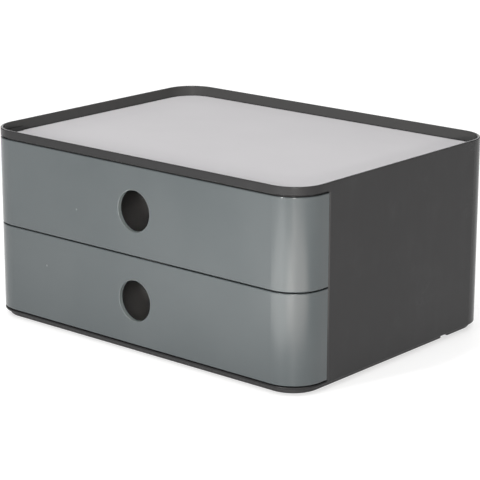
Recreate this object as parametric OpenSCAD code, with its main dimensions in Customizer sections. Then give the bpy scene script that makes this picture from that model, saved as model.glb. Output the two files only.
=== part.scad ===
// Desktop box with two drawers and a rimmed top.
// X runs left to right, Y from front to back and Z up. The origin is the middle of the footprint,
// on the surface that the feet stand on. Each drawer's runner ribs hang in rails on the side walls.

/* [Body] */
// Width of the box
body_w = 260; // [240:1:320]
// Depth of the box, front face to back
body_d = 195; // [180:1:240]
// Height from the underside of the plinth to the top of the rim
body_h = 125; // [118:1:150]
// Radius of the four upright corners
corner_r = 21; // [18:0.5:26]
// Thickness of the side and rear walls
wall_t = 2.2; // [2:0.1:2.8]

/* [Rim and deck] */
// Thickness of the rim that stands round the top
rim_t = 1.7; // [1.4:0.1:1.9]
// Height of the rim above the deck plate
rim_h = 6.9; // [6:0.1:9]
// Rounding of the rim's top edges
rim_edge_r = 0.5; // [0.2:0.1:0.6]
// Rounding of the walls' and the lip's lower edge
wall_edge_r = 0.4; // [0.2:0.1:0.6]
// Height of the band between the upper drawer and the top of the rim
band_h = 5.3; // [5:0.1:5.6]
// Thickness of the moulded deck under the deck plate
deck_t = 2; // [1.5:0.1:2.5]
// Thickness of the deck plate
deck_plate_t = 1.5; // [1:0.1:2]
// Gap round the edge of the deck plate
plate_gap = 0.2; // [0.1:0.05:0.4]
// Thickness of the web behind the upper drawer's top edge
web_t = 1.2; // [1:0.1:1.5]

/* [Front opening] */
// Depth of the opening for the fronts, from the front face back
opening_d = 27.5; // [25:0.5:32]
// Radius in the corners of the opening, seen from the side
opening_r = 1.5; // [1:0.1:2]
// Chamfer along the outer edge of the opening
opening_chamfer = 0.5; // [0.2:0.1:0.6]
// Gap above, between and below the fronts
front_gap = 0.8; // [0.6:0.1:1.2]
// Gap between a front's side and the side wall's edge
seam_gap = 0.4; // [0.3:0.1:0.8]
// Height of the lip below the lower front
lip_h = 1.4; // [1.4:0.1:2]
// Depth of that lip, from the front face back
lip_w = 4; // [3.8:0.1:4.6]

/* [Plinth and floor] */
// Height of the plinth under the walls
plinth_h = 3.2; // [3:0.1:4]
// How far the plinth is set in from the walls
plinth_inset = 3.2; // [2.8:0.1:3.4]
// Thickness of the plinth
plinth_t = 3; // [2.5:0.1:4]
// Rounding of the plinth's lower edge
plinth_edge_r = 0.6; // [0.3:0.1:0.8]
// Width of the notch in each side of the plinth
notch_w = 7.6; // [6:0.2:12]
// Place of that notch behind the middle of the box
notch_y = 54.2; // [40:0.2:60]
// Thickness of the floor
floor_t = 1.6; // [1.2:0.1:1.6]
// Gap round the edge of the floor
floor_gap = 0.2; // [0.1:0.05:0.3]
// Thickness of the stiffening ribs under the floor
floor_rib_t = 1.6; // [1.2:0.1:2.4]
// Height of those ribs
floor_rib_h = 2; // [1.5:0.1:2.4]
// Count of ribs that run from front to back
floor_rib_count = 5; // [2:1:8]

/* [Floor fixing] */
// Width of a snap hook along the wall
hook_w = 12; // [8:1:16]
// Thickness of a snap hook
hook_t = 1.6; // [1.2:0.1:1.8]
// Height of a snap hook above the floor
hook_h = 8; // [7:0.5:10]
// How far a hook's barb reaches into the wall
barb_d = 0.8; // [0.6:0.1:1]
// Height of a barb
barb_h = 1.8; // [1.4:0.1:2.2]
// Clearance of a barb in its pocket
barb_gap = 0.2; // [0.1:0.05:0.3]
// Spacing of the hooks along each side
hook_pitch = 58; // [50:1:62]
// Width of a tongue over the front lip
tongue_w = 24; // [16:1:30]
// Thickness of a tongue
tongue_t = 1; // [0.8:0.1:1.2]
// How far a tongue lies on the floor behind the lip
tongue_root = 1.2; // [1:0.1:2]
// Spacing of the tongues
tongue_pitch = 80; // [60:1:85]

/* [Feet] */
// Radius of a rubber foot
foot_r = 7; // [5:0.5:9]
// Thickness of a rubber foot
foot_t = 2; // [1.5:0.1:2.4]
// How far the feet stand below the plinth
foot_proud = 0.5; // [0.3:0.1:0.8]
// Rounding of a foot's lower edge
foot_edge_r = 0.4; // [0.2:0.1:0.8]
// Gap round a foot in its cup
foot_gap = 0.15; // [0.1:0.05:0.3]
// Wall of the cup round a foot
cup_t = 1.8; // [1.2:0.1:2.4]
// Distance of a foot's centre from the sides, front and back
foot_inset = 26; // [24:0.5:34]

/* [Fronts] */
// Thickness of a drawer front
front_t = 2.4; // [2.2:0.1:2.8]
// Thickness of its top edge, which passes in front of the web
front_edge_t = 1.2; // [1:0.1:1.3]
// Height of that thin edge
front_edge_h = 4.9; // [4.8:0.1:5.4]
// Rounding of a front's outer edges
front_edge_r = 0.5; // [0.2:0.1:0.5]
// Radius of the finger hole
finger_r = 13; // [11:0.5:14]
// Rounding of the finger hole's outer edge
finger_edge_r = 0.5; // [0.3:0.1:1]
// Width of the raised ring round the finger hole, behind the front
finger_ring_w = 2.6; // [2:0.1:3.2]
// Depth of the finger hole, ring included
finger_ring_d = 2.8; // [2.6:0.1:3.4]

/* [Front screws] */
// Distance of the screws from the middle of the front
screw_x = 95; // [80:1:100]
// Distance of the screws above and below the finger hole's centre
screw_z = 15; // [12:0.5:18]
// Radius of a screw's shank
screw_r = 1.3; // [1:0.1:1.5]
// Radius of a screw's head
screw_head_r = 3.5; // [3.2:0.1:4]
// Height of a screw's head
screw_head_h = 1.6; // [1.2:0.1:2]
// Rounding of a screw's head
screw_head_edge_r = 1; // [0.6:0.1:1.2]
// Radius of the boss that a screw turns into
screw_boss_r = 2.4; // [2.3:0.1:2.6]
// Gap round a screw's shank in its boss
thread_gap = 0.1; // [0.05:0.05:0.2]
// Clearance of the bosses and of the finger ring in the tray's front wall
screw_gap = 0.3; // [0.2:0.05:0.4]
// Skin left in front of a screw
screw_skin = 1.2; // [1:0.1:1.4]
// Depth that a boss ends below the screw's head
boss_gap = 0.2; // [0.1:0.05:0.3]
// Depth of the cross recess in a screw's head
cross_d = 0.9; // [0.6:0.1:1]
// Width of a slot of that recess
cross_w = 0.8; // [0.6:0.1:1]
// Length of a slot of that recess
cross_l = 3.2; // [2.8:0.1:3.6]

/* [Trays] */
// Thickness of a tray's side and rear walls
tray_t = 1.8; // [1.6:0.1:2.2]
// Thickness of a tray's front wall
tray_front_t = 2; // [1.8:0.1:2.4]
// Thickness of a tray's floor
tray_floor_t = 1.8; // [1.5:0.1:2.2]
// Gap between a tray's front wall and the front's back
tray_front_gap = 0.2; // [0.1:0.05:0.3]
// Height of a tray's underside above the bottom edge of its front
tray_lift = 1.2; // [1.1:0.1:1.6]
// Gap between the upper tray and the deck above it
tray_top_gap = 0.65; // [0.5:0.05:1]
// Gap between a tray's side and the side wall of the box
side_space = 5.2; // [5:0.1:6.5]
// How much tighter a tray's rear corners are than the inside corners of the box
tray_corner_step = 6.8; // [5:0.1:7.6]
// Gap between the wide head of a tray and the edge of the side walls
head_gap = 2.6; // [2:0.1:4]

/* [Runners and rails] */
// Height of a runner rib above the tray's underside
runner_z = 25; // [20:0.5:28]
// Thickness of a runner rib
runner_t = 2.4; // [2:0.1:3]
// Gap below a runner rib
run_gap = 0.3; // [0.2:0.05:0.4]
// Gap above a runner rib
run_top_gap = 0.5; // [0.4:0.05:0.8]
// Gap at the side of a tray and of a runner rib
run_side_gap = 0.5; // [0.4:0.05:0.7]
// Thickness of a rail's back
rail_web_t = 1.2; // [1:0.1:1.5]
// Thickness of a rail's flanges
rail_flange_t = 1.4; // [1.2:0.1:1.8]
// Setback of the rails behind the edge of the side walls
rail_setback = 2; // [2:0.5:5]
// Length of the flare at a rail's mouth
mouth_l = 6; // [3:0.5:10]
// Length of the taper at a runner rib's rear end
runner_taper = 4; // [2:0.5:8]
// Gap round a rail in its seat
seat_gap = 0.1; // [0.05:0.05:0.2]
// Thickness of the ribs that make the seat
seat_rib_t = 1; // [0.8:0.1:1.4]
// How far those ribs stand out from the wall
seat_rib_d = 1.2; // [1:0.1:1.3]

/* [Shelf] */
// Thickness of the shelf between the drawers
shelf_t = 2; // [1.6:0.1:2.2]
// Gap between the shelf and the upper tray
shelf_gap = 0.55; // [0.5:0.05:0.7]
// Gap round the edge of the shelf
shelf_edge_gap = 0.2; // [0.1:0.05:0.3]
// Gap between the shelf's front edge and the backs of the fronts
shelf_front_gap = 0.7; // [0.5:0.1:1.2]
// How far the ledge under the shelf stands out from the walls
ledge_d = 4; // [3:0.1:4.4]
// Thickness of that ledge
ledge_t = 1.6; // [1.2:0.1:1.8]
// How far the keeper rib above the shelf stands out from the walls
keeper_d = 2; // [1.5:0.1:2.2]
// Thickness of that keeper rib
keeper_t = 1.2; // [1:0.1:1.6]
// Count of the stiffening ribs under the shelf
shelf_rib_count = 3; // [1:1:4]
// Thickness of those ribs
shelf_rib_t = 1.6; // [1.2:0.1:2]
// Height of those ribs
shelf_rib_h = 2; // [1.5:0.1:2.4]

/* [Travel] */
// How far a drawer pulls out
travel = 125; // [100:1:128]
// Gap left between a tray and its stops at full travel
stop_gap = 0.3; // [0.2:0.05:0.5]
// How far a stop reaches below the top of a tray
stop_catch = 2.2; // [1.6:0.1:3]
// Width of a stop
stop_w = 16; // [10:1:24]
// Thickness of a stop
stop_t = 2; // [1.6:0.1:3]
// Distance of the stops from the middle
stop_x = 70; // [50:1:90]
// Thickness of a rear bumper
bumper_t = 3; // [2.5:0.1:4]
// Radius of a rear bumper
bumper_r = 5; // [4:0.5:7]
// Rounding of a rear bumper's edge
bumper_edge_r = 1; // [0.5:0.1:1.5]
// Distance of the bumpers from the middle
bumper_x = 70; // [50:1:90]
// Gap between a closed tray and its bumpers
bumper_gap = 0.3; // [0.2:0.05:0.5]

/* [Hidden] */
$fn = 64;
over = 1; // how far a cut runs past the faces that it opens

dark = "#454546";
blue_grey = "#74797c";
light = "#cdccce";
black = "#262626";
steel = "#a9abad";
pale = "#8f9294";

lower = 0;
upper = 1;
left = -1;
right = 1;
fore = -1;
rear = 1;

// Heights, from the ground up
plinth_z = foot_proud;
wall_z = plinth_z + plinth_h;
floor_z = wall_z + floor_t;
lip_z = wall_z + lip_h;
top_z = plinth_z + body_h;
band_z = top_z - band_h;
plate_z = top_z - rim_h;
deck_z = plate_z - deck_plate_t;
ceiling_z = deck_z - deck_t;
web_z = band_z + web_t;
front_h = (band_z - lip_z - 3 * front_gap) / 2;
front_z = [for (level = [lower, upper]) lip_z + front_gap + level * (front_h + front_gap)];
tray_z = [for (z = front_z) z + tray_lift];
tray_h = ceiling_z - tray_top_gap - tray_z[upper];
shelf_z = tray_z[upper] - shelf_gap;
ledge_z = shelf_z - shelf_t;

// Places along Y
face_y = -body_d / 2;
opening_y = face_y + opening_d;
rail_y = opening_y + rail_setback;
corner_y = body_d / 2 - corner_r; // centres of the rear corners
corner_centre_y = -corner_y; // and of the front ones
rear_wall_y = body_d / 2 - wall_t;
tray_rear_y = rear_wall_y - bumper_t - bumper_gap;
head_y = opening_y - head_gap; // where the trays narrow behind their heads
tray_corner_r = corner_r - wall_t - tray_corner_step;
runner_end_y = tray_rear_y - tray_corner_r;
tongue_y = face_y + front_t + shelf_front_gap;
tongue_l = face_y + lip_w + floor_gap + tongue_root - tongue_y;
foot_y = body_d / 2 - foot_inset;
stop_y = tray_rear_y - tray_t - travel - stop_gap; // rear faces of the stops

// Places along X, and distances inwards from the outer faces
corner_centre_x = body_w / 2 - corner_r;
foot_x = body_w / 2 - foot_inset;
wall_x = body_w / 2 - wall_t; // inner faces of the side walls
tray_x = wall_x - side_space; // outer faces of the trays' sides
runner_x = wall_x - rail_web_t - run_side_gap;
web_in = rim_t + web_t; // inner face of the web behind the upper front
lip_flat = plinth_inset - floor_gap; // flat part of the lip's underside
tray_in = front_t + tray_front_gap; // outer face of the trays' heads
seat_x = wall_x - seat_rib_d;
head_z = tray_in + tray_front_t; // depth of the trays' front walls, where the screw heads bear
boss_d = head_z - boss_gap;

// An upright outline of the box, drawn `inset` inside its outer faces
module outline(inset) {
    r = corner_r - inset;
    w = body_w - 2 * inset;
    d = body_d - 2 * inset;
    square([w - 2 * r, d], center = true);
    square([w, d - 2 * r], center = true);
    for (x = [-1, 1], y = [-1, 1])
        translate([x * (w / 2 - r), y * (d / 2 - r)])
            circle(r);
}

// Sweeps a profile round the front of the box. Its x is the distance inwards from the outer face
// and its y is the height. The sides run back as far as y = back_y.
module front_sweep(back_y) {
    for (side = [left, right])
        corner_sweep(side)
            children();
    front_run()
        children();
    side_l = back_y - corner_centre_y;
    translate([body_w / 2, corner_centre_y, 0])
        rotate([90, 0, 180])
            linear_extrude(side_l)
                children();
    translate([-body_w / 2, back_y, 0])
        rotate([90, 0, 0])
            linear_extrude(side_l)
                children();
}

// Sweeps the same kind of profile round the whole box
module full_sweep() {
    for (turn = [0, 180])
        rotate([0, 0, turn]) {
            front_run()
                children();
            for (side = [left, right])
                corner_sweep(side)
                    children();
            translate([body_w / 2, corner_centre_y, 0])
                rotate([90, 0, 180])
                    linear_extrude(-2 * corner_centre_y)
                        children();
        }
}

module front_run() {
    translate([-corner_centre_x, face_y, 0])
        rotate([90, 0, 90])
            linear_extrude(2 * corner_centre_x)
                children();
}

module corner_sweep(side) {
    translate([side * corner_centre_x, corner_centre_y, 0])
        rotate([0, 0, side == right ? -90 : 180])
            rotate_extrude(angle = 90)
                translate([corner_r, 0])
                    mirror([1, 0])
                        children();
}

// What a rounding takes from a corner at the origin, whose material lies towards +x and +y
module corner_waste(r) {
    difference() {
        translate([-over, -over])
            square(r + over);
        translate([r, r])
            circle(r);
    }
}

// Cuts a 2D shape off in front of y, or keeps only what lies in front of it
module keep_front(y) {
    intersection() {
        children();
        translate([-body_w, y - body_d])
            square([2 * body_w, body_d]);
    }
}

module keep_rear(y) {
    intersection() {
        children();
        translate([-body_w, y])
            square([2 * body_w, body_d]);
    }
}

// A plate that fills the box to `inset`, and to `front_inset` in front of y
module plate(inset, front_inset, y, z0, z1) {
    translate([0, 0, z0])
        linear_extrude(z1 - z0) {
            outline(front_inset);
            keep_rear(y)
                outline(inset);
        }
}

// A shelf-like rib on the side and rear walls, standing out by d
module wall_rib(d, z0, z1) {
    translate([0, 0, z0])
        linear_extrude(z1 - z0)
            keep_rear(rail_y)
                difference() {
                    outline(wall_t / 2);
                    outline(wall_t + d);
                }
}

// ---- Housing shell

// Cross-section of the side and rear walls with the rim
module wall_profile() {
    difference() {
        union() {
            translate([0, wall_z])
                square([wall_t, deck_z - wall_z]);
            translate([0, wall_z])
                square([rim_t, top_z - wall_z]);
        }
        translate([0, wall_z])
            corner_waste(wall_edge_r);
        translate([0, top_z])
            mirror([0, 1])
                corner_waste(rim_edge_r);
        translate([rim_t, top_z])
            rotate(180)
                corner_waste(rim_edge_r);
    }
}

// Side view of the opening for the fronts
module opening_profile() {
    r = opening_r;
    h = band_z - lip_z;
    translate([face_y - over, lip_z])
        square([opening_d + over - r, h]);
    translate([face_y - over, lip_z + r])
        square([opening_d + over, h - 2 * r]);
    for (z = [lip_z + r, band_z - r])
        translate([opening_y - r, z])
            circle(r);
}

module front_opening() {
    translate([-body_w / 2 - over, 0, 0])
        rotate([90, 0, 90])
            linear_extrude(body_w + 2 * over)
                opening_profile();
}

// Chamfer along the opening's outer edge
module opening_edge() {
    c = opening_chamfer;
    r = opening_r;
    front_sweep(opening_y - r)
        for (z = [lip_z, band_z])
            translate([0, z])
                diamond(c);
    for (side = [left, right]) {
        translate([side * body_w / 2, opening_y, lip_z + r])
            linear_extrude(band_z - lip_z - 2 * r)
                diamond(c);
        for (z = [lip_z + r, band_z - r])
            translate([side * body_w / 2, opening_y - r, z])
                rotate([0, 90 * side, 0])
                    translate([0, 0, -c])
                        cylinder(h = 2 * c, r1 = r, r2 = r + 2 * c);
    }
}

module diamond(c) {
    polygon([[-c, 0], [0, -c], [c, 0], [0, c]]);
}

// Web and ledge that close the step behind the upper front's top edge
module web_profile() {
    polygon([[rim_t, ceiling_z], [web_in, ceiling_z], [web_in, web_z],
             [rim_t / 2, web_z], [rim_t / 2, band_z], [rim_t, band_z]]);
}

// Lip below the lower front; its underside rises where it passes over the plinth
module lip_profile() {
    difference() {
        polygon([[0, wall_z], [lip_flat, wall_z], [lip_w, wall_z + lip_h / 2], [lip_w, lip_z], [0, lip_z]]);
        translate([0, wall_z])
            corner_waste(wall_edge_r);
        translate([0, lip_z])
            diamond(opening_chamfer);
    }
}

// Seats that hold the rails against the side walls, closed at the rear
module rail_seats() {
    reach = seat_rib_d + wall_t / 2;
    for (side = [left, right], z = tray_z) {
        low = rail_low(z) - seat_gap;
        high = rail_high(z) + seat_gap;
        translate([side * (seat_x + reach / 2), 0, 0]) {
            for (rib_z = [low - seat_rib_t / 2, high + seat_rib_t / 2])
                translate([0, (rail_y + corner_y) / 2, rib_z])
                    cube([reach, corner_y - rail_y, seat_rib_t], center = true);
            translate([0, corner_y + seat_rib_t / 2, (low + high) / 2])
                cube([reach, seat_rib_t, high - low + 2 * seat_rib_t], center = true);
        }
    }
}

// Stops that catch a tray's rear wall at full travel, from a tray's top up to z1
module stops(z, z1) {
    low = z + tray_h - stop_catch;
    for (x = [-stop_x, stop_x])
        translate([x - stop_w / 2, stop_y - stop_t, low])
            cube([stop_w, stop_t, z1 - low]);
}

module housing_shell() {
    color(dark) {
        difference() {
            full_sweep()
                wall_profile();
            front_opening();
            opening_edge();
            hook_places()
                barb_pocket();
        }
        front_sweep(rail_y) {
            web_profile();
            lip_profile();
        }
        translate([0, 0, ceiling_z])
            linear_extrude(deck_t)
                outline(rim_t);
        wall_rib(ledge_d, ledge_z - ledge_t, ledge_z);
        wall_rib(keeper_d, shelf_z + shelf_edge_gap, shelf_z + shelf_edge_gap + keeper_t);
        rail_seats();
        stops(tray_z[upper], deck_z);
    }
}

// ---- Base plate

// Places children at each snap hook: the wall's inner face is at x = 0 and the box lies towards -x
module hook_places() {
    for (side = [left, right], y = [-hook_pitch, 0, hook_pitch])
        translate([side * wall_x, y, floor_z])
            rotate([0, 0, side == right ? 0 : 180])
                children();
    for (x = [-hook_pitch, hook_pitch])
        translate([x, rear_wall_y, floor_z])
            rotate([0, 0, 90])
                children();
}

module snap_hook() {
    barb_z = hook_h - barb_h;
    rotate([90, 0, 0])
        linear_extrude(hook_w, center = true)
            polygon([[-floor_gap - hook_t, -floor_t / 2], [-floor_gap, -floor_t / 2], [-floor_gap, barb_z],
                     [barb_d, barb_z], [-floor_gap, hook_h], [-floor_gap - hook_t, hook_h]]);
}

module barb_pocket() {
    translate([-over, -hook_w / 2 - barb_gap, hook_h - barb_h - barb_gap])
        cube([over + barb_d + barb_gap, hook_w + 2 * barb_gap, barb_h + 2 * barb_gap]);
}

module plinth_profile() {
    difference() {
        translate([plinth_inset, plinth_z])
            square([plinth_t, plinth_h]);
        translate([plinth_inset, plinth_z])
            corner_waste(plinth_edge_r);
    }
}

// A notch through each side of the plinth, with its lower edges rounded
module plinth_notches() {
    translate([-body_w / 2, notch_y, plinth_z])
        rotate([90, 0, 90])
            linear_extrude(body_w) {
                translate([-notch_w / 2, -over])
                    square([notch_w, plinth_h + over]);
                for (side = [0, 1])
                    mirror([side, 0])
                        translate([notch_w / 2, 0])
                            corner_waste(plinth_edge_r);
            }
}

module foot_places() {
    for (side = [left, right], end = [fore, rear])
        translate([side * foot_x, end * foot_y, 0])
            children();
}

module foot_cup() {
    difference() {
        translate([0, 0, plinth_z])
            cylinder(h = plinth_h, r = foot_r + foot_gap + cup_t);
        translate([0, 0, plinth_z - over])
            cylinder(h = foot_t - plinth_z + over, r = foot_r + foot_gap);
    }
}

module floor_ribs() {
    inner = 2 * (plinth_inset + plinth_t / 2);
    pitch = (body_w - inner) / (floor_rib_count + 1);
    for (i = [1 : floor_rib_count])
        translate([-body_w / 2 + inner / 2 + i * pitch - floor_rib_t / 2, inner / 2 - body_d / 2,
                   wall_z - floor_rib_h])
            cube([floor_rib_t, body_d - inner, floor_rib_h]);
    translate([inner / 2 - body_w / 2, -floor_rib_t / 2, wall_z - floor_rib_h])
        cube([body_w - inner, floor_rib_t, floor_rib_h]);
}

module base_plate() {
    color(dark) {
        difference() {
            full_sweep()
                plinth_profile();
            plinth_notches();
        }
        foot_places()
            foot_cup();
        difference() {
            floor_ribs();
            foot_places()
                cylinder(h = wall_z, r = foot_r + foot_gap + cup_t / 2);
        }
        plate(wall_t + floor_gap, lip_w + floor_gap, rail_y + floor_gap, wall_z, floor_z);
        hook_places()
            snap_hook();
        for (x = [-tongue_pitch, 0, tongue_pitch])
            translate([x - tongue_w / 2, tongue_y, lip_z])
                cube([tongue_w, tongue_l, tongue_t]);
    }
}

// ---- Deck plate, shelf, rails and rubber pieces

module deck_plate() {
    color(light)
        plate(rim_t + plate_gap, web_in + plate_gap, rail_y + plate_gap, deck_z, plate_z);
}

module divider_shelf() {
    rib_l = 2 * (wall_x - ledge_d - shelf_front_gap);
    pitch = (corner_y - stop_y) / (shelf_rib_count + 1);
    color(dark) {
        plate(wall_t + shelf_edge_gap, front_t + shelf_front_gap, opening_y + shelf_front_gap,
              ledge_z, shelf_z);
        stops(tray_z[lower], shelf_z);
        for (i = [1 : shelf_rib_count])
            translate([-rib_l / 2, stop_y + i * pitch, ledge_z - shelf_rib_h])
                cube([rib_l, shelf_rib_t, shelf_rib_h + shelf_t / 2]);
    }
}

// Heights of a rail's lower and upper edges, for a tray whose underside is at z
function rail_low(z) = z + runner_z - run_gap - rail_flange_t;
function rail_high(z) = z + runner_z + runner_t + run_top_gap + rail_flange_t;

// A channel along one side wall, with a flared mouth at the front
module guide_rail(side, level) {
    low = rail_low(tray_z[level]);
    high = rail_high(tray_z[level]);
    mid = (low + high) / 2;
    slot = high - low - 2 * rail_flange_t;
    tip_x = tray_x + run_side_gap;
    flare = rail_flange_t / 2;
    color(pale)
        difference() {
            translate([side > 0 ? tip_x : -wall_x, rail_y, low])
                cube([wall_x - tip_x, corner_y - seat_gap - rail_y, high - low]);
            translate([side > 0 ? tip_x - over : -wall_x + rail_web_t, rail_y - over, low + rail_flange_t])
                cube([wall_x - rail_web_t - tip_x + over, corner_y - rail_y + 2 * over, slot]);
            translate([side > 0 ? tip_x - over : -wall_x + rail_web_t, rail_y, mid])
                rotate([90, 0, 90])
                    linear_extrude(wall_x - rail_web_t - tip_x + over)
                        polygon([[-over, slot / 2 + flare], [0, slot / 2 + flare], [mouth_l, slot / 2],
                                 [mouth_l, -slot / 2], [0, -slot / 2 - flare], [-over, -slot / 2 - flare]]);
        }
}

module guide_rail_upper_left() { guide_rail(left, upper); }
module guide_rail_upper_right() { guide_rail(right, upper); }
module guide_rail_lower_left() { guide_rail(left, lower); }
module guide_rail_lower_right() { guide_rail(right, lower); }

// Two round pads on the rear wall, with rounded front edges
module rear_bumpers(level) {
    color(black)
        for (x = [-bumper_x, bumper_x])
            translate([x, rear_wall_y, tray_z[level] + tray_h / 2])
                rotate([90, 0, 0])
                    rotate_extrude()
                        rounded_pad(bumper_r, bumper_t, bumper_edge_r);
}

module rear_bumpers_upper() { rear_bumpers(upper); }
module rear_bumpers_lower() { rear_bumpers(lower); }

// Half section of a round pad, with its face at the top
module rounded_pad(r, t, edge) {
    difference() {
        square([r, t]);
        translate([r, t])
            rotate(180)
                corner_waste(edge);
    }
}

module foot(side, end) {
    color(black)
        translate([side * foot_x, end * foot_y, foot_t])
            rotate([180, 0, 0])
                rotate_extrude()
                    rounded_pad(foot_r, foot_t, foot_edge_r);
}

module foot_front_left() { foot(left, fore); }
module foot_front_right() { foot(right, fore); }
module foot_rear_left() { foot(left, rear); }
module foot_rear_right() { foot(right, rear); }

// ---- Drawers

// Cross-section of a front, with a thin top edge that passes in front of the web
module front_profile() {
    difference() {
        union() {
            square([front_t, front_h - front_edge_h]);
            square([front_edge_t, front_h]);
        }
        corner_waste(front_edge_r);
        translate([0, front_h])
            mirror([0, 1])
                corner_waste(front_edge_r);
    }
}

// Places children on the axis of the finger hole, with +z into the drawer from the front face
module at_finger_hole() {
    translate([0, face_y, front_h / 2])
        rotate([-90, 0, 0])
            children();
}

module at_screws() {
    at_finger_hole()
        for (x = [-screw_x, screw_x], y = [-screw_z, screw_z])
            translate([x, y, 0])
                children();
}

module drawer_front(level) {
    back_y = opening_y - seam_gap;
    color(blue_grey)
        translate([0, 0, front_z[level]])
            difference() {
                union() {
                    front_sweep(back_y)
                        front_profile();
                    at_finger_hole()
                        translate([0, 0, front_t / 2])
                            cylinder(h = finger_ring_d - front_t / 2, r = finger_r + finger_ring_w);
                    at_screws()
                        translate([0, 0, front_t / 2])
                            cylinder(h = boss_d - front_t / 2, r = screw_boss_r);
                }
                at_finger_hole() {
                    translate([0, 0, -over])
                        cylinder(h = finger_ring_d + 2 * over, r = finger_r);
                    rotate_extrude()
                        translate([finger_r, 0])
                            corner_waste(finger_edge_r);
                }
                at_screws()
                    translate([0, 0, screw_skin])
                        cylinder(h = boss_d, r = screw_r + thread_gap);
                for (side = [0, 1])
                    mirror([side, 0, 0])
                        translate([body_w / 2, back_y, -over])
                            linear_extrude(front_h + 2 * over)
                                rotate(180)
                                    corner_waste(front_edge_r);
            }
}

module drawer_front_upper() { drawer_front(upper); }
module drawer_front_lower() { drawer_front(lower); }

// Plan of a tray, drawn inside its outer faces by `side_in`, with its head set in by `head_in`
// and ending at head_back_y
module tray_plan(side_in, head_in, head_back_y) {
    x = tray_x - side_in;
    r = tray_corner_r - side_in;
    y0 = head_back_y - over;
    y1 = tray_rear_y - side_in;
    translate([-x, y0])
        square([2 * x, y1 - r - y0]);
    translate([-x + r, y0])
        square([2 * (x - r), y1 - y0]);
    for (side = [left, right])
        translate([side * (x - r), y1 - r])
            circle(r);
    keep_front(head_back_y)
        outline(head_in);
}

// A rib along each side of the tray, which rides in a rail; its rear end is tapered
module runner_ribs() {
    for (side = [0, 1])
        mirror([side, 0, 0])
            translate([0, 0, runner_z])
                linear_extrude(runner_t)
                    polygon([[tray_x - tray_t / 2, head_y - tray_t / 2], [runner_x, head_y - tray_t / 2],
                             [runner_x, runner_end_y - runner_taper], [tray_x, runner_end_y],
                             [tray_x - tray_t / 2, runner_end_y]]);
}

module drawer_tray(level) {
    color(dark)
        translate([0, 0, tray_z[level]])
            difference() {
                union() {
                    linear_extrude(tray_h)
                        tray_plan(0, tray_in, head_y);
                    runner_ribs();
                }
                translate([0, 0, tray_floor_t])
                    linear_extrude(tray_h)
                        tray_plan(tray_t, head_z, head_y - tray_t);
                translate([0, 0, -tray_lift]) {
                    at_finger_hole()
                        cylinder(h = head_z + over, r = finger_r + finger_ring_w + screw_gap);
                    at_screws()
                        cylinder(h = head_z + over, r = screw_boss_r + screw_gap);
                }
            }
}

module drawer_tray_upper() { drawer_tray(upper); }
module drawer_tray_lower() { drawer_tray(lower); }

// Screws through the tray's front wall into the front's bosses, with a cross recess in each head
module front_screws(level) {
    color(steel)
        translate([0, 0, front_z[level]])
            at_screws() {
                shank_z = screw_skin + thread_gap;
                translate([0, 0, shank_z])
                    cylinder(h = head_z + screw_head_h / 2 - shank_z, r = screw_r);
                translate([0, 0, head_z])
                    difference() {
                        rotate_extrude()
                            rounded_pad(screw_head_r, screw_head_h, screw_head_edge_r);
                        for (turn = [0, 90])
                            rotate([0, 0, turn])
                                translate([-cross_l / 2, -cross_w / 2, screw_head_h - cross_d])
                                    cube([cross_l, cross_w, cross_d + over]);
                    }
            }
}

module front_screws_upper() { front_screws(upper); }
module front_screws_lower() { front_screws(lower); }

housing_shell();
base_plate();
deck_plate();
divider_shelf();
guide_rail_upper_left();
guide_rail_upper_right();
guide_rail_lower_left();
guide_rail_lower_right();
rear_bumpers_upper();
rear_bumpers_lower();
foot_front_left();
foot_front_right();
foot_rear_left();
foot_rear_right();
drawer_front_upper();
drawer_tray_upper();
front_screws_upper();
drawer_front_lower();
drawer_tray_lower();
front_screws_lower();
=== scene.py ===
import math

import bmesh
import bpy
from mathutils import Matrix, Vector


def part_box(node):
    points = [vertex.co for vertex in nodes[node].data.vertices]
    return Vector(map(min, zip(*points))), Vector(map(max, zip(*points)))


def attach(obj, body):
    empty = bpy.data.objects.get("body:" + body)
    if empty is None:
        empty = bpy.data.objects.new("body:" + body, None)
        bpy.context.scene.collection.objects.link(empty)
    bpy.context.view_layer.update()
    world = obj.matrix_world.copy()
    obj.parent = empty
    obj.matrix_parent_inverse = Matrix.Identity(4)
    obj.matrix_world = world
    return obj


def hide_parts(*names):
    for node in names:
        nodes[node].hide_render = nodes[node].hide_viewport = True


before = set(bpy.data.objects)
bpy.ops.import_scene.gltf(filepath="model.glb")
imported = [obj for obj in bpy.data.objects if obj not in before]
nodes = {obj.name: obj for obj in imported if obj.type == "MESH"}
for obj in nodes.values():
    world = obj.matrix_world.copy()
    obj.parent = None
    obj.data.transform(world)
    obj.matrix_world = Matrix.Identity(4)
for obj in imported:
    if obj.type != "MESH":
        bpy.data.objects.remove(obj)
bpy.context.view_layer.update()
mm = 0.001
tiny = 0.001 * mm  # points about this close count as one
print("frame loaded:", len(nodes), "CAD nodes")


# node trees written as expressions

class Wire:  # one output of a node; plain maths on it adds Math nodes
    def __init__(self, board, socket):
        self.board = board
        self.socket = socket

    def pick(self, name):  # another output of the same node
        return Wire(self.board, self.socket.node.outputs[name])

    def maths(self, operation, *values):
        return self.board.add("ShaderNodeMath", {"operation": operation}, dict(enumerate(values)))

    def __add__(self, other):
        return self.maths("ADD", self, other)

    def __sub__(self, other):
        return self.maths("SUBTRACT", self, other)

    def __rsub__(self, other):
        return self.maths("SUBTRACT", other, self)

    def __mul__(self, other):
        return self.maths("MULTIPLY", self, other)

    def __pow__(self, other):
        return self.maths("POWER", self, other)

    def __abs__(self):
        return self.maths("ABSOLUTE", self)

    def __lt__(self, other):
        return self.maths("LESS_THAN", self, other)

    def __gt__(self, other):
        return self.maths("GREATER_THAN", self, other)

    __radd__ = __add__
    __rmul__ = __mul__


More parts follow.
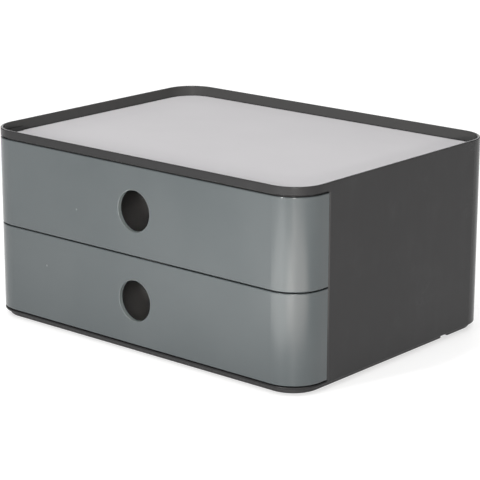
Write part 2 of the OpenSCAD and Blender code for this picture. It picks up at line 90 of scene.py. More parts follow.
class Board:  # a node tree to add nodes to
    def __init__(self, tree):
        self.tree = tree

    def add(self, kind, settings=None, sockets=None, output=0):
        node = self.tree.nodes.new(kind)
        for name, value in (settings or {}).items():
            setattr(node, name, value)
        for name, value in (sockets or {}).items():
            for each in value if isinstance(value, list) else [value]:
                if isinstance(each, Wire):
                    self.tree.links.new(each.socket, node.inputs[name])
                else:
                    node.inputs[name].default_value = each
        return Wire(self, node.outputs[output]) if node.outputs else node

    def vector(self, operation, a, b):
        return self.add("ShaderNodeVectorMath", {"operation": operation}, {0: a, 1: b})

    def join(self, x, y, z):
        return self.add("ShaderNodeCombineXYZ", {}, {"X": x, "Y": y, "Z": z})


class Paint(Board):  # a material; its patterns lie on Object coordinates, in millimetres
    def __init__(self, name):
        self.material = bpy.data.materials.new(name)
        self.material.use_nodes = True
        super().__init__(self.material.node_tree)
        self.tree.nodes.clear()
        metres = self.add("ShaderNodeTexCoord", output="Object")
        self.place = self.vector("MULTIPLY", metres, (1000, 1000, 1000))
        self.x = self.add("ShaderNodeSeparateXYZ", {}, {0: self.place})
        self.y, self.z = self.x.pick("Y"), self.x.pick("Z")
        self.facing = self.add("ShaderNodeNewGeometry", output="Normal")
        self.facingUp = self.add("ShaderNodeSeparateXYZ", {}, {0: self.facing}, "Z")

    def noise(self, size, detail=2.0, rough=0.5, stretch=(1, 1, 1)):
        place = self.vector("MULTIPLY", self.place, tuple(1 / (size * s) for s in stretch))
        return self.add("ShaderNodeTexNoise", {},
                        {"Vector": place, "Scale": 1.0, "Detail": detail, "Roughness": rough})

    def cells(self, size, stretch=(1, 1, 1), turn=0.0):
        place = self.place
        if turn:
            place = self.add("ShaderNodeVectorRotate", {"rotation_type": "Z_AXIS"},
                             {"Vector": place, "Angle": math.radians(turn)})
        place = self.vector("MULTIPLY", place, tuple(1 / (size * s) for s in stretch))
        return self.add("ShaderNodeTexVoronoi", {"feature": "F1"}, {"Vector": place, "Scale": 1.0})

    def ease(self, value, low, high):  # 0 below low, 1 above high, smooth between
        return self.add("ShaderNodeMapRange", {"interpolation_type": "SMOOTHSTEP"},
                        {"Value": value, "From Min": low, "From Max": high})

    def blend(self, share, a, b):
        return self.add("ShaderNodeMix", {"data_type": "RGBA"}, {0: share, 6: a, 7: b}, 2)

    def bump(self, height, depth, under=None):
        sockets = {"Height": height, "Distance": depth * mm, "Strength": 1.0}
        if under:
            sockets["Normal"] = under
        return self.add("ShaderNodeBump", {}, sockets)

    def dust(self, size, amount):  # rare small specks
        radius, softness = 0.12, 0.06  # as shares of a cell
        spot = self.cells(size)
        rare = self.add("ShaderNodeSeparateColor", {}, {0: spot.pick("Color")}) > 1 - amount
        return self.ease(radius - spot, 0.0, softness) * rare

    def finish(self, color, roughness, normal, **constants):
        sockets = {"Base Color": color, "Roughness": roughness, "Normal": normal}
        sockets.update({name.replace("_", " "): value for name, value in constants.items()})
        surface = self.add("ShaderNodeBsdfPrincipled", {}, sockets)
        self.add("ShaderNodeOutputMaterial", {}, {"Surface": surface})
        print("finish made:", self.material.name)
        return self.material


# finishes

housingLook = {
    "color": (0.0190, 0.0189, 0.0194, 1),
    "pale": (0.030, 0.030, 0.031, 1),  # where the moulding texture is rubbed; also the colour of the painted highlights on the right side and the walls' front edges
    "roughness": 0.24,
    "gloss": 0.2,
    "grain": 0.35,  # size of the moulding texture in millimetres
    "grainDepth": 0.012,
    "drift": 38.0, "streak": 9.0, "streakStretch": 6,  # sizes of the slow changes and of the upright streaks
    "specks": (6.0, 0.03), "speck": (0.30, 0.29, 0.27, 1), "speckShare": 0.1,  # spacing and how many
    "rimInsideLit": (0.048, 0.048, 0.0475, 1), "rimZ": 119.0,  # painted light: the inside of the rim is painted lighter, as if more brightly lit
    "highlightX": 130.0, "sideHighlightY": 77.9, "sideHighlightZ": (54.5, 68.5),  # painted highlight: a faint upright light line on the right side near its rear edge
    "sideHighlightWidth": 0.7, "highlightFade": 1.0, "sideHighlightShare": 0.9,
    "seamY": (-70.1, -69.2), "seamZ": (5.6, 119.7), "seamHighlightShare": 0.9,  # painted highlight: light lines along the side walls' front edges beside the drawers
}


def makeHousingPlastic(name, look, paintHighlights=False):
    paint = Paint(name)
    grain = paint.noise(look["grain"], 3.0, 0.6)
    drift = paint.noise(look["drift"], 3.0, 0.55)
    streak = paint.noise(look["streak"], 2.0, 0.5, (1, 1, look["streakStretch"]))
    worn = paint.ease(drift * 0.7 + streak * 0.3, 0.48, 0.72) * 0.25
    if paintHighlights:
        # painted highlight: a faint upright light line on the right side, added to the worn share
        across = paint.ease(look["sideHighlightWidth"] / 2 - abs(paint.y - look["sideHighlightY"]), 0.0, 0.3)
        low, high = look["sideHighlightZ"]
        fade = look["highlightFade"]
        along = paint.ease(paint.z, low - fade, low + fade)
        along = along * (1 - paint.ease(paint.z, high - fade, high + fade))
        worn = worn + across * along * (paint.x > look["highlightX"] - fade) * look["sideHighlightShare"]
        # painted highlight: light lines along the side walls' front edges, added to the worn share
        near, far = look["seamY"]
        low, high = look["seamZ"]
        edge = (paint.y > near) * (paint.y < far)
        edge = edge * (paint.z > low) * (paint.z < high) * (abs(paint.x) > look["highlightX"] - fade)
        worn = worn + edge * look["seamHighlightShare"]
    specks = paint.dust(*look["specks"])
    outward = paint.vector("DOT_PRODUCT", paint.facing, paint.place).pick("Value")
    inward = paint.ease(outward * -1, 0.0, 20.0)  # faces that look towards the middle
    # painted light: inward faces above rimZ are painted lighter
    rimInsideLight = inward * paint.ease(paint.z, look["rimZ"] - 0.5, look["rimZ"] + 0.5)
    color = paint.blend(worn, look["color"], look["pale"])
    color = paint.blend(rimInsideLight, color, look["rimInsideLit"])
    color = paint.blend(specks * look["speckShare"], color, look["speck"])
    roughness = look["roughness"] + (drift - 0.5) * 0.10 + (grain - 0.5) * 0.12 + specks * 0.3
    normal = paint.bump(grain + streak * 0.15, look["grainDepth"])
    return paint.finish(color, roughness, normal, IOR=1.49, Specular_IOR_Level=look["gloss"])


frontLook = {
    "color": (0.0505, 0.0597, 0.0625, 1),
    "pale": (0.0565, 0.0655, 0.0683, 1),
    "roughness": 0.19,
    "ripple": 2.2,  # size of the soft waves in the gloss, in millimetres
    "rippleDepth": 0.0035,
    "grain": 0.22, "grainDepth": 0.0018, "drift": 60.0,
    "hairs": 7.0, "hairPatches": 30.0,  # fine scratches, and the patches where they show
    "rubPatches": 1.6,
    "specks": (7.0, 0.05), "speck": (0.42, 0.42, 0.40, 1), "speckShare": 0.08,
    "ring": (0.130, 0.147, 0.147, 1), "holeLightStart": 12.9, "holeLightEnd": 13.5,  # painted light: the walls inside the finger holes are painted paler, as if lit from the front right
    "holeHeights": (34.05, 91.25), "rubStart": 13.0, "rubEnd": 26.0,  # fingers rub the front round its hole
}


def makeFrontPlastic(look):
    paint = Paint("front_blue_grey")
    ripple = paint.noise(look["ripple"], 2.0, 0.45)
    grain = paint.noise(look["grain"], 2.0, 0.6)
    drift = paint.noise(look["drift"], 3.0, 0.5)
    hairs = paint.ease(0.06 - paint.cells(look["hairs"], (1, 1, 0.02)), 0.0, 0.05)
    hairs = hairs * paint.ease(paint.noise(look["hairPatches"]), 0.52, 0.62)
    rubbed = ring = 0
    for height in look["holeHeights"]:
        away = paint.add("ShaderNodeVectorMath", {"operation": "LENGTH"}, {
            0: paint.join(paint.x, 0, paint.z - height)}, "Value")
        rubbed = 1 - paint.ease(away, look["rubStart"], look["rubEnd"]) + rubbed
        ring = 1 - paint.ease(away, look["holeLightStart"], look["holeLightEnd"]) + ring
    rubbed = rubbed * paint.ease(paint.noise(look["rubPatches"], 3.0, 0.5, (1, 1, 3)), 0.4, 0.75)
    specks = paint.dust(*look["specks"])
    color = paint.blend(paint.ease(drift, 0.35, 0.7), look["color"], look["pale"])
    # painted light: paler walls inside the finger holes
    color = paint.blend(ring, color, look["ring"])
    color = paint.blend(specks * look["speckShare"], color, look["speck"])
    roughness = look["roughness"] + (grain - 0.5) * 0.05 + hairs * 0.12 + rubbed * 0.04 + specks * 0.3
    normal = paint.bump(ripple, look["rippleDepth"], paint.bump(grain, look["grainDepth"]))
    return paint.finish(color, roughness, normal, IOR=1.5)


deckLook = {
    "color": (0.490, 0.481, 0.494, 1),
    "pale": (0.510, 0.501, 0.513, 1),
    "roughness": 0.68,
    "grain": 0.45,
    "grainDepth": 0.02,
    "pits": 0.7, "cloud": 45.0,
    "hairs": 11.0, "hairTurn": 32.0,  # fine scratches: spacing in millimetres, direction in degrees
    "crossHairs": 15.0, "crossTurn": -58.0, "hairPatches": 40.0,
    "specks": (5.0, 0.06), "speck": (0.36, 0.35, 0.34, 1), "speckShare": 0.5,
    "gloss": 0.14,
}


def makeDeckPlastic(look):
    paint = Paint("deck_light_grey")
    grain = paint.noise(look["grain"], 3.0, 0.65)
    pits = paint.cells(look["pits"])
    cloud = paint.noise(look["cloud"], 4.0, 0.6)
    hairs = paint.ease(0.05 - paint.cells(look["hairs"], (1, 0.012, 1), look["hairTurn"]), 0.0, 0.04)
    crossHairs = paint.cells(look["crossHairs"], (1, 0.01, 1), look["crossTurn"])
    crossHairs = paint.ease(0.05 - crossHairs, 0.0, 0.04)
    marks = (hairs + crossHairs) * paint.ease(paint.noise(look["hairPatches"]), 0.5, 0.65)
    specks = paint.dust(*look["specks"])
    color = paint.blend(paint.ease(cloud * 0.6 + grain * 0.4, 0.3, 0.7), look["color"], look["pale"])
    color = paint.blend(specks * look["speckShare"], color, look["speck"])
    roughness = look["roughness"] + (grain - 0.5) * 0.16 - marks * 0.12 + (cloud - 0.5) * 0.08
    normal = paint.bump(grain + pits * 0.5, look["grainDepth"])
    return paint.finish(color, roughness, normal, IOR=1.46, Specular_IOR_Level=look["gloss"])


trayLook = {
    "color": (0.420, 0.409, 0.407, 1),
    "pale": (0.455, 0.444, 0.441, 1),
    "roughness": 0.42,
    "grain": 0.5,
    "grainDepth": 0.018,
    "drift": 30.0, "slides": 16.0,  # slides are the long scratches that pens and paper leave
    "specks": (5.0, 0.09), "speck": (0.30, 0.28, 0.25, 1), "speckShare": 0.5,
}


def makeTrayPlastic(look):
    paint = Paint("tray_warm_grey")
    grain = paint.noise(look["grain"], 3.0, 0.6)
    drift = paint.noise(look["drift"], 3.0, 0.55)
    flat = paint.ease(paint.facingUp, 0.5, 0.9)
    slides = paint.ease(0.07 - paint.cells(look["slides"], (0.012, 1, 1)), 0.0, 0.05) * flat
    specks = paint.dust(*look["specks"]) * flat
    worn = paint.ease(drift, 0.45, 0.75) * 0.35 + slides * 0.5
    color = paint.blend(worn, look["color"], look["pale"])
    color = paint.blend(specks * look["speckShare"], color, look["speck"])
    roughness = look["roughness"] + (grain - 0.5) * 0.14 - slides * 0.1 + specks * 0.25
    return paint.finish(color, roughness, paint.bump(grain, look["grainDepth"]), IOR=1.49)


railLook = {
    "color": (0.26, 0.27, 0.28, 1), "polished": (0.34, 0.35, 0.36, 1), "roughness": 0.34,
    "grain": 0.4, "along": 1.4, "alongStretch": 25, "depth": 0.008,
}


def makeRailPlastic(look):
    paint = Paint("rail_grey")
    grain = paint.noise(look["grain"], 2.0, 0.6)
    stretch = (1, look["alongStretch"], 1)
    along = paint.noise(look["along"], 3.0, 0.6, stretch)  # the runner ribs polish the channel lengthwise
    color = paint.blend(paint.ease(along, 0.4, 0.7), look["color"], look["polished"])
    roughness = look["roughness"] + (0.5 - along) * 0.2 + (grain - 0.5) * 0.08
    return paint.finish(color, roughness, paint.bump(along * 0.6 + grain * 0.4, look["depth"]), IOR=1.5)


rubberLook = {
    "color": (0.012, 0.012, 0.012, 1), "dusty": (0.05, 0.048, 0.045, 1), "roughness": 0.72,
    "grain": 0.3, "grainDepth": 0.02, "patch": 4.0,
}


def makeRubber(look):
    paint = Paint("black_rubber")
    grain = paint.noise(look["grain"], 4.0, 0.65)
    patch = paint.noise(look["patch"], 3.0, 0.6)
    dusty = paint.ease(patch * 0.6 + grain * 0.4, 0.45, 0.7) * 0.5
    color = paint.blend(dusty, look["color"], look["dusty"])
    roughness = look["roughness"] + (grain - 0.5) * 0.2
    return paint.finish(color, roughness, paint.bump(grain, look["grainDepth"]), IOR=1.5)


screwLook = {
    "color": (0.60, 0.60, 0.61, 1), "dull": (0.38, 0.38, 0.40, 1), "roughness": 0.30,
    "bloom": 0.8, "brush": 0.12, "brushDepth": 0.004,
}


def makeScrewZinc(look):
    paint = Paint("screw_zinc")
    bloom = paint.noise(look["bloom"], 4.0, 0.6)
    brush = paint.noise(look["brush"], 2.0, 0.5, (8, 1, 1))
    color = paint.blend(paint.ease(bloom, 0.4, 0.7), look["color"], look["dull"])
    roughness = look["roughness"] + (bloom - 0.5) * 0.25
    return paint.finish(color, roughness, paint.bump(brush, look["brushDepth"]), Metallic=1.0)


baseLook = dict(housingLook, color=(0.0260, 0.0258, 0.0265, 1), roughness=0.42, grain=0.5, grainDepth=0.02)
innerLook = dict(housingLook, color=(0.0250, 0.0248, 0.0255, 1), roughness=0.45, grain=0.5, grainDepth=0.02)

housingPlastic = makeHousingPlastic("housing_dark_grey", housingLook, paintHighlights=True)
basePlastic = makeHousingPlastic("base_dark_grey", baseLook)
innerPlastic = makeHousingPlastic("inner_dark_grey", innerLook)
frontPlastic = makeFrontPlastic(frontLook)
deckPlastic = makeDeckPlastic(deckLook)
trayPlastic = makeTrayPlastic(trayLook)
railPlastic = makeRailPlastic(railLook)
blackRubber = makeRubber(rubberLook)
screwZinc = makeScrewZinc(screwLook)


# ways of making pieces

def newObject(name, data):
    thing = bpy.data.objects.new(name, data)
    bpy.context.scene.collection.objects.link(thing)
    return thing


def meshOf(name, shape, material=None):  # turns a bmesh into a mesh with outward faces
    bmesh.ops.recalc_face_normals(shape, faces=shape.faces)
    mesh = bpy.data.meshes.new(name)
    shape.to_mesh(mesh)
    shape.free()
    if material:
        mesh.materials.append(material)
    return mesh


def middleOf(node):
    low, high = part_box(node)
    return (low + high) / 2


def settle(piece, body, slot, *replaced):
    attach(piece, body)
    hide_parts(*replaced)
    print("piece made:", piece.name, len(piece.data.polygons), "faces")
    return piece


def freeze(piece):  # applies the modifiers to the mesh
    view = bpy.context.evaluated_depsgraph_get()
    mesh = bpy.data.meshes.new_from_object(piece.evaluated_get(view))
    piece.modifiers.clear()
    piece.data = mesh
    mesh.name = piece.name
    return piece


def nodeTree(name, inputs):  # an empty Geometry Nodes tree with named inputs
    tree = bpy.data.node_groups.new(name, "GeometryNodeTree")
    tree.interface.new_socket("Geometry", in_out="INPUT", socket_type="NodeSocketGeometry")
    for label, kind in inputs.items():
        tree.interface.new_socket(label, in_out="INPUT", socket_type="NodeSocket" + kind)
    tree.interface.new_socket("Geometry", in_out="OUTPUT", socket_type="NodeSocketGeometry")
    board = Board(tree)
    return board, board.add("NodeGroupInput")


def endTree(board, geometry, material):
    real = board.add("GeometryNodeRealizeInstances", {}, {"Geometry": geometry})
    dressed = board.add("GeometryNodeSetMaterial", {}, {"Geometry": real, "Material": material})
    board.add("NodeGroupOutput", {}, {"Geometry": dressed})
    return board.tree


def grow(name, base, tree, values):  # runs a tree on a base mesh and keeps the plain result
    piece = newObject(name, base)
    growth = piece.modifiers.new("growth", "NODES")
    growth.node_group = tree
    for item in tree.interface.items_tree:
        if item.in_out == "INPUT" and item.name in values:
            growth[item.identifier] = values[item.name]
    freeze(piece)
    shape = bmesh.new()
    shape.from_mesh(piece.data)
    bmesh.ops.remove_doubles(shape, verts=shape.verts, dist=tiny)
    bmesh.ops.recalc_face_normals(shape, faces=shape.faces)
    shape.to_mesh(piece.data)
    shape.free()
    return piece


def lathe(name, outline, steps):  # turns (radius, height) points round Z
    shape = bmesh.new()
    points = [shape.verts.new((r * mm, 0, h * mm)) for r, h in outline]
    edges = [shape.edges.new(pair) for pair in zip(points, points[1:])]
    bmesh.ops.spin(shape, geom=points + edges, cent=(0, 0, 0), axis=(0, 0, 1),
                   angle=2 * math.pi, steps=steps, use_merge=True)
    bmesh.ops.remove_doubles(shape, verts=shape.verts, dist=tiny)
    for face in shape.faces:
        face.smooth = True
    return meshOf(name, shape)


# deck plate: its outline and edge follow a rule

deckPlate = {
    "edge": 0.45,  # rounding of the plate's edges
    "frontRadius": 17.9, "rearRadius": 19.1,
    "sideStep": 1.2, "stepY": -67.8, "stepRadius": 0.5,  # the plate is narrower between the front corners
    "cornerSteps": 20, "edgeSteps": 4,
}


def plateTree():
    board, given = nodeTree("rounded_plate", {
        "Base Height": "Float", "Thickness": "Float", "Edge": "Float", "Corner Steps": "Int",
        "Edge Steps": "Int", "Material": "Material"})
    edge, thickness = given.pick("Edge"), given.pick("Thickness")
    index = board.add("GeometryNodeInputIndex")
    cornerRadius = board.add("GeometryNodeInputNamedAttribute", {"data_type": "FLOAT"},
                             {"Name": "cornerRadius"})
    corners = board.add("GeometryNodeMeshToCurve", {}, {"Mesh": given})
    outline = board.add("GeometryNodeFilletCurve", {"mode": "POLY"}, {
        "Curve": corners, "Count": given.pick("Corner Steps"), "Radius": cornerRadius})
    outline = board.add("GeometryNodeSetCurveNormal", {"mode": "Z_UP"}, {"Curve": outline})

    section = board.add("GeometryNodeMeshLine", {}, {"Count": 4})  # the wall's section: in, out, down, in
    section = board.add("GeometryNodeMeshToCurve", {}, {"Mesh": section})
    section = board.add("GeometryNodeSetPosition", {}, {"Geometry": section, "Position": board.join(
        edge * (abs(index - 1.5) > 1) * -1, thickness * (index > 1.5) * -1, 0)})
    almost = 0.999  # of the edge, so that no two points of the rounding fall together
    section = board.add("GeometryNodeFilletCurve", {"mode": "POLY"}, {
        "Curve": section, "Count": given.pick("Edge Steps"), "Radius": edge * almost})
    wall = board.add("GeometryNodeCurveToMesh", {}, {"Curve": outline, "Profile Curve": section})
    wall = board.add("GeometryNodeSetShadeSmooth", {}, {"Geometry": wall, "Shade Smooth": True})

    inward = board.add("ShaderNodeVectorMath", {"operation": "SCALE"}, {
        0: board.add("GeometryNodeInputNormal"), "Scale": edge * -1})
    inner = board.add("GeometryNodeSetPosition", {}, {"Geometry": outline, "Offset": inward})
    cap = board.add("GeometryNodeFillCurve", {"mode": "NGONS"}, {"Curve": inner})
    cap = board.add("GeometryNodeSetShadeSmooth", {}, {"Geometry": cap, "Shade Smooth": False})
    top = board.add("GeometryNodeTransform", {}, {
        "Geometry": cap, "Translation": board.join(0, 0, thickness)})
    whole = board.add("GeometryNodeJoinGeometry", {}, {"Geometry": [wall, cap, top]})
    seated = board.add("GeometryNodeTransform", {}, {
        "Geometry": whole, "Translation": board.join(0, 0, given.pick("Base Height"))})
    return endTree(board, seated, given.pick("Material"))


def makeDeckPlate(look):
    low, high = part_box("deck_plate")
    wide, narrow, stepY = high.x, high.x - look["sideStep"] * mm, look["stepY"] * mm
    places = [(-narrow, low.y), (narrow, low.y), (narrow, stepY), (wide, stepY),
              (wide, high.y), (-wide, high.y), (-wide, stepY), (-narrow, stepY)]
    radii = [look["frontRadius"]] * 2 + [look["stepRadius"]] * 2 + [look["rearRadius"]] * 2
    radii += [look["stepRadius"]] * 2
    corners = bpy.data.meshes.new("deckPlateCorners")
    count = len(places)
    corners.from_pydata([(x, y, 0) for x, y in places], [(i, (i + 1) % count) for i in range(count)], [])
    radius = corners.attributes.new("cornerRadius", "FLOAT", "POINT")
    for i, value in enumerate(radii):
        radius.data[i].value = value * mm
    plate = grow("deckPlate", corners, plateTree(), {
        "Base Height": low.z, "Thickness": high.z - low.z, "Edge": look["edge"] * mm,
        "Corner Steps": look["cornerSteps"], "Edge Steps": look["edgeSteps"], "Material": deckPlastic})
    return settle(plate, "housing", "deck", "deck_plate")


makeDeckPlate(deckPlate)


# moulded pieces: copies of the CAD pieces with their sharp edges eased

def mergedShape(node, flatDegrees=0.5):  # the loose triangles as one closed shape with whole flat faces
    shape = bmesh.new()
    shape.from_mesh(nodes[node].data)
    bmesh.ops.remove_doubles(shape, verts=shape.verts, dist=2 * tiny)
    bmesh.ops.dissolve_limit(shape, angle_limit=math.radians(flatDegrees),
                             verts=shape.verts, edges=shape.edges)
    return shape


def sharpEdges(shape, degrees=25):
    return [e for e in shape.edges
            if len(e.link_faces) == 2 and e.calc_face_angle(0) > math.radians(degrees)]


def easeEdges(shape, edges, width, steps):
    bmesh.ops.bevel(shape, geom=edges, offset=width * mm, offset_type="OFFSET", segments=steps,
                    profile=0.5, affect="EDGES", clamp_overlap=True, miter_outer="ARC")


def easedPiece(name, node, body, slot, material, edge, coves=None, edgeSteps=2):
    shape = mergedShape(node)
    if coves:
        height, width, steps = coves
        floorEdges = [e for e in sharpEdges(shape) if all(abs(v.co.z - height) < 10 * tiny for v in e.verts)]
        easeEdges(shape, floorEdges, width, steps)
    easeEdges(shape, sharpEdges(shape), edge, edgeSteps)
    for face in shape.faces:
        face.smooth = True
    piece = newObject(name, meshOf(name, shape, material))
    piece.modifiers.new("even", "WEIGHTED_NORMAL").keep_sharp = True
    return settle(freeze(piece), body, slot, node)


drawerTray = {"edge": 0.3, "floor": 1.8, "cove": 2.4, "coveSteps": 4}
softEdges = {"base": 0.25, "shelf": 0.3, "rail": 0.2}

for level in ("Upper", "Lower"):
    node = "drawer_tray_" + level.lower()
    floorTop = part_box(node)[0].z + drawerTray["floor"] * mm
    easedPiece("tray" + level, node, "drawer_" + level.lower(), "tray", trayPlastic,
               drawerTray["edge"], (floorTop, drawerTray["cove"], drawerTray["coveSteps"]))
    for side in ("left", "right"):
        node = "guide_rail_" + level.lower() + "_" + side
        easedPiece("rail" + level + side.title(), node, "housing", "rail", railPlastic, softEdges["rail"])
easedPiece("dividerShelf", "divider_shelf", "housing", "inner", innerPlastic, softEdges["shelf"])
easedPiece("basePlate", "base_plate", "housing", "base", basePlastic, softEdges["base"])


# small pieces that repeat: screws, feet and bumpers on points

def scatterTree():
    board, given = nodeTree("pieces_on_points", {
        "Piece": "Object", "Facing": "Rotation", "Spin": "Float", "Seed": "Int", "Material": "Material"})
    piece = board.add("GeometryNodeObjectInfo", {}, {"Object": given.pick("Piece")}, "Geometry")
    copies = board.add("GeometryNodeInstanceOnPoints", {}, {
        "Points": given, "Instance": piece, "Rotation": given.pick("Facing")})
    angle = board.add("FunctionNodeRandomValue", {"data_type": "FLOAT"}, {
        2: 0.0, 3: given.pick("Spin"), "Seed": given.pick("Seed")}, 1)
    turned = board.add("GeometryNodeRotateInstances", {}, {
        "Instances": copies, "Rotation": board.join(0, 0, angle), "Local Space": True})
    return endTree(board, turned, given.pick("Material"))


piecesOnPoints = scatterTree()


def scatter(name, model, places, facing, material, spin=0.0, seed=1):
    points = bpy.data.meshes.new(name + "Places")
    points.from_pydata(places, [], [])
    original = newObject(name + "Model", model)
    piece = grow(name, points, piecesOnPoints, {
        "Piece": original, "Facing": facing, "Spin": spin, "Seed": seed, "Material": material})
    bpy.data.objects.remove(original)
    return piece


footPad = {
    "radius": 7.0, "height": 2.0, "edge": 0.5,
    "grooves": 3, "grooveDepth": 0.35, "grooveSlant": 0.1, "pitch": 1.6, "landShare": 0.55,
    "steps": 48,
}


def footModel(look):  # stands on its seat, sole up, with ring grooves in the sole
    radius, height, edge = look["radius"], look["height"], look["edge"]
    outline = [(0, 0), (radius, 0), (radius, height - edge)]
    outline += [(radius - edge + edge * math.cos(a), height - edge + edge * math.sin(a))
                for a in (math.radians(d) for d in (30, 60, 90))]
    for ring in range(look["grooves"]):
        outer = radius - edge - (ring + look["landShare"]) * look["pitch"]
        inner = outer - (1 - look["landShare"]) * look["pitch"]
        low, slant = height - look["grooveDepth"], look["grooveSlant"]
        outline += [(outer, height), (outer - slant, low), (inner + slant, low), (inner, height)]
    return lathe("footModel", outline + [(0, height)], look["steps"])


def makeFeet(look):
    feet = ["foot_front_left", "foot_front_right", "foot_rear_left", "foot_rear_right"]
    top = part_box(feet[0])[1].z
    places = [(middle.x, middle.y, top) for middle in map(middleOf, feet)]
    pads = scatter("footPads", footModel(look), places, (math.pi, 0, 0), blackRubber)
    return settle(pads, "housing", "pads", *feet)


bumper = {
    "radius": 5.0, "height": 3.0, "crown": 1.2,
    "sideCurve": 0.5, "topCurve": 0.8,  # below 1 the dome is fuller than a round one
    "crownSteps": 8, "steps": 40,
}


def bumperModel(look):  # a low dome on a straight side
    radius, height, crown = look["radius"], look["height"], look["crown"]
    outline = [(0, 0), (radius, 0)]
    for step in range(look["crownSteps"] + 1):
        angle = step / look["crownSteps"] * math.pi / 2
        outline.append((radius * math.cos(angle) ** look["sideCurve"],
                        height - crown + crown * math.sin(angle) ** look["topCurve"]))
    outline[-1] = (0, height)
    return lathe("bumperModel", outline, look["steps"])


def makeBumpers(look):
    for level in ("upper", "lower"):
        node = "rear_bumpers_" + level
        high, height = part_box(node)[1], middleOf(node).z
        reach = high.x - look["radius"] * mm
        places = [(-reach, high.y, height), (reach, high.y, height)]
        pads = scatter("bumpers" + level.title(), bumperModel(look), places, (math.pi / 2, 0, 0), blackRubber)
        settle(pads, "housing", "pads", node)


frontScrew = {
    "headRadius": 3.5, "headHeight": 1.6, "shankRadius": 1.3, "tipY": 1.3, "headY": 4.6,
    "headSide": 0.32, "headFlat": 0.62,  # straight share of the head's height, flat share of its radius
    "tipEdge": 0.3, "steps": 48,
    "crossLength": 3.2, "crossWidth": 0.8, "crossDepth": 0.95, "crossTaper": 0.62,
    "screwX": 95.0, "screwZ": 15.0, "seed": 7,
}


def screwModel(look):  # head up, its underside at height 0
    steps, radius, height = look["steps"], look["headRadius"], look["headHeight"]
    long, wide = look["crossLength"] / 2, look["crossWidth"] / 2
    cross = [(long, -wide), (long, wide), (wide, wide), (wide, long), (-wide, long), (-wide, wide)]
    cross += [(-x, -y) for x, y in cross]
    shape = bmesh.new()
    shank, length, tip = look["shankRadius"], look["headY"] - look["tipY"], look["tipEdge"]
    side, flat = height * look["headSide"], radius * look["headFlat"]
    rings = [(shank - tip, -length), (shank, -length + tip), (shank, 0), (radius, 0), (radius, side)]
    rings += [(flat + (radius - flat) * math.cos(a), side + (height - side) * math.sin(a))
              for a in (math.radians(d) for d in (22, 45, 68, 90))]
    loops = []
    for r, h in rings:
        turn = [2 * math.pi * i / steps for i in range(steps)]
        loops.append([shape.verts.new((r * mm * math.cos(t), r * mm * math.sin(t), h * mm)) for t in turn])
    for a, b in zip(loops, loops[1:]):
        for i in range(steps):
            shape.faces.new((a[i], a[(i + 1) % steps], b[(i + 1) % steps], b[i])).smooth = True
    shape.faces.new(loops[0][::-1])
    mouth = [shape.verts.new((x * mm, y * mm, height * mm)) for x, y in cross]
    taper, floor = look["crossTaper"], (height - look["crossDepth"]) * mm
    bottom = [shape.verts.new((x * mm * taper, y * mm * taper, floor)) for x, y in cross]
    count = len(cross)
    for i in range(count):
        j = (i + 1) % count
        shape.faces.new((mouth[i], mouth[j], bottom[j], bottom[i]))
    shape.faces.new(bottom)
    ringEdges = [shape.edges.get((loops[-1][i], loops[-1][(i + 1) % steps])) for i in range(steps)]
    mouthEdges = [shape.edges.get((mouth[i], mouth[(i + 1) % count])) for i in range(count)]
    bmesh.ops.triangle_fill(shape, edges=ringEdges + mouthEdges, use_beauty=True)
    return meshOf("screwModel", shape)


def makeScrews(look):
    for level in ("upper", "lower"):
        front = "drawer_front_" + level
        x, z = look["screwX"] * mm, look["screwZ"] * mm
        y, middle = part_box(front)[0].y + look["headY"] * mm, middleOf(front).z
        places = [(sx * x, y, middle + sz * z) for sx in (-1, 1) for sz in (-1, 1)]
        screws = scatter("screws" + level.title(), screwModel(look), places, (-math.pi / 2, 0, 0),
                         screwZinc, math.pi, look["seed"])
        settle(screws, "drawer_" + level, "screws", "front_screws_" + level)


makeFeet(footPad)
makeBumpers(bumper)
makeScrews(frontScrew)


# CAD pieces that keep their shape

def dress(material, *names):
    for name in names:
        slots = nodes[name].data.materials
        slots.clear()
        slots.append(material)


dress(housingPlastic, "housing_shell")
dress(frontPlastic, "drawer_front_upper", "drawer_front_lower")


# studio

studio = {
    "floorSize": 8.0, "floorDrop": 0.0002, "floorColor": (0.45, 0.45, 0.45, 1), "floorGlow": 0.6,
    "floorRoughness": 0.6, "floorMottle": 400.0, "floorShade": 0.99, "floorGrain": 3.0, "floorDepth": 0.01,
    "skyLow": 0.17, "skyHigh": 2.75, "skyHeights": (0.72, 0.95),  # a pale room with a bright ceiling
}

lights = {  # azimuth is from the front axis towards the right, in degrees
    "cameraFill": {"azimuth": 41, "elevation": 15.7, "distance": 1.9, "width": 0.30, "height": 0.25,
                   "brightness": 44.0, "tint": (1.0, 0.98, 0.95)},
    "lowPanel": {"azimuth": 38.5, "elevation": 8.05, "distance": 5.295, "width": 0.10, "height": 0.10,
                 "brightness": 4700.0, "tint": (1.0, 0.96, 0.93)},
    "frontStrip": {"azimuth": 3, "elevation": 16, "distance": 1.8, "width": 0.05, "height": 0.12,
                   "brightness": 650.0, "tint": (1.0, 1.0, 1.0)},
    "highLeft": {"azimuth": -8, "elevation": 54, "distance": 1.8, "width": 0.06, "height": 0.06,
                 "brightness": 630.0, "tint": (1.0, 1.0, 1.0)},
    "rearPanel": {"azimuth": 221, "elevation": 9.5, "distance": 2.4, "width": 1.8, "height": 0.75,
                  "brightness": 1.7, "tint": (1.0, 1.0, 1.0)},
}

floorPools = {  # glowing parts of the floor, which the fronts mirror; places and radii in millimetres
    "leftPool": {"place": (120, -340), "radius": 178, "softness": 0.6, "glow": (2.6, 2.6, 2.5)},
    "middlePool": {"place": (0, -385), "radius": 300, "softness": 1.0, "glow": (0.7, 0.7, 0.7)},
    "rightPool": {"place": (320, -250), "radius": 190, "softness": 0.8, "glow": (3.0, 2.75, 2.6)},
}

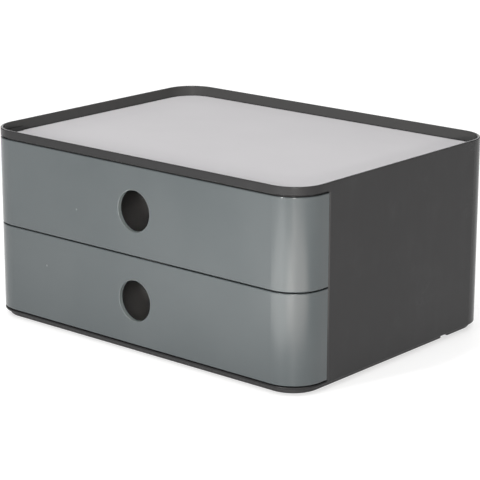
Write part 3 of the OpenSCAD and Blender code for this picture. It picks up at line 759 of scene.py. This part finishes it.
cameraView = {
    "azimuth": 40.617, "elevation": 15.576, "distance": 1.25895, "aim": (-0.000596, 0.002989, 0.051967),
    "roll": 0.149, "lens": 144.87, "sensor": 36.0,
}


def aimAt(thing, target, look):  # places a lamp or the camera round the target and turns it there
    a, e = math.radians(look["azimuth"]), math.radians(look["elevation"])
    away = Vector((math.sin(a) * math.cos(e), -math.cos(a) * math.cos(e), math.sin(e)))
    place = target + away * look["distance"]
    thing.location = place
    thing.rotation_euler = (target - place).to_track_quat("-Z", "Y").to_euler()


def makeFloorFinish(look, pools):
    paint = Paint("floor_pale")
    shaded = tuple(look["floorShade"] * c for c in look["floorColor"])
    tone = paint.blend(paint.noise(look["floorMottle"]), look["floorColor"], shaded)
    glow = (look["floorGlow"],) * 3
    for pool in pools.values():
        (x, y), edge = pool["place"], pool["radius"] ** 2
        away = (paint.x - x) ** 2 + (paint.y - y) ** 2
        share = 1 - paint.ease(away, edge * (1 - pool["softness"]), edge)
        glow = paint.vector("ADD", glow, paint.vector("MULTIPLY", share, pool["glow"]))
    normal = paint.bump(paint.noise(look["floorGrain"]), look["floorDepth"])
    return paint.finish(tone, look["floorRoughness"], normal, Emission_Color=glow, Emission_Strength=1.0)


def makeStudio(look, pools):
    floor = bpy.data.meshes.new("floor")
    half = look["floorSize"] / 2
    corners = [(-half, -half), (half, -half), (half, half), (-half, half)]
    floor.from_pydata([(x, y, -look["floorDrop"]) for x, y in corners], [], [(0, 1, 2, 3)])
    floor.materials.append(makeFloorFinish(look, pools))
    newObject("floor", floor)
    world = bpy.data.worlds.new("studio")
    world.use_nodes = True
    world.node_tree.nodes.clear()
    sky = Board(world.node_tree)
    height = sky.add("ShaderNodeSeparateXYZ", {}, {0: sky.add("ShaderNodeTexCoord")}, "Z")
    low, high = look["skyHeights"]
    ceiling = sky.add("ShaderNodeMapRange", {"interpolation_type": "SMOOTHSTEP"}, {
        "Value": height, "From Min": low, "From Max": high,
        "To Min": look["skyLow"], "To Max": look["skyHigh"]})
    room = sky.add("ShaderNodeBackground", {}, {"Strength": ceiling})
    sky.add("ShaderNodeOutputWorld", {}, {"Surface": room})
    bpy.context.scene.world = world


def makeLights(table):
    middle = Vector(cameraView["aim"])
    for name, look in table.items():
        lamp = bpy.data.lights.new(name, "AREA")
        lamp.shape = "RECTANGLE"
        lamp.size, lamp.size_y = look["width"], look["height"]
        lamp.color = look["tint"]
        lamp.energy = look["brightness"] * math.pi * look["width"] * look["height"]
        holder = newObject(name, lamp)
        holder.visible_camera = False
        aimAt(holder, middle, look)


def makeCamera(look):
    camera = newObject("camera", bpy.data.cameras.new("camera"))
    camera.data.lens = look["lens"]
    camera.data.sensor_width = look["sensor"]
    aimAt(camera, Vector(look["aim"]), look)
    camera.rotation_euler.rotate_axis("Z", math.radians(look["roll"]))
    bpy.context.scene.camera = camera


makeStudio(studio, floorPools)
makeLights(lights)
makeCamera(cameraView)
bpy.context.scene.view_settings.view_transform = "Standard"
print("studio made")
